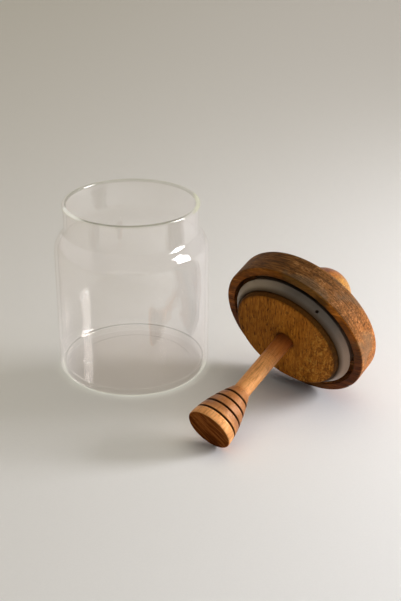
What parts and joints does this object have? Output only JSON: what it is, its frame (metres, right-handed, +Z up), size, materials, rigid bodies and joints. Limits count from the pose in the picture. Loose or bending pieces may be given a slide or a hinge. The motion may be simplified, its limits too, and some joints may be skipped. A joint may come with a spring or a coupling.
{
  "type": "glass honey jar",
  "caption": "Open, empty glass honey jar with a wide neck, and its turned wooden cap with ball knob, silicone seal and fixed honey dipper lying beside it.",
  "frame": {"origin": "centre of the jar's flat base, on the surface it stands on", "axes": "+Z up along the jar's own axis, +X along the table from the jar towards the cap, -Y towards the side that the cap's dipper points to"},
  "size_m": [0.1938, 0.1601, 0.1106],
  "materials": {
    "clear_glass": "clear, smooth, very slightly green at the rim",
    "cap_wood": "oiled, satin, grain along the face and pores at the ends",
    "plug_wood": "oiled, satin, short dark flecks along the grain",
    "turned_wood": "oiled, satin, fine turning marks",
    "knob_wood": "oiled, satin",
    "silicone": "matte translucent white silicone"
  },
  "bodies": {
    "root": {"glass_jar": "clear_glass", "lid": "cap_wood", "lid_plug": "plug_wood", "seal_ring": "silicone", "dipper": "turned_wood", "knob": "knob_wood"}
  },
  "joints": []
}
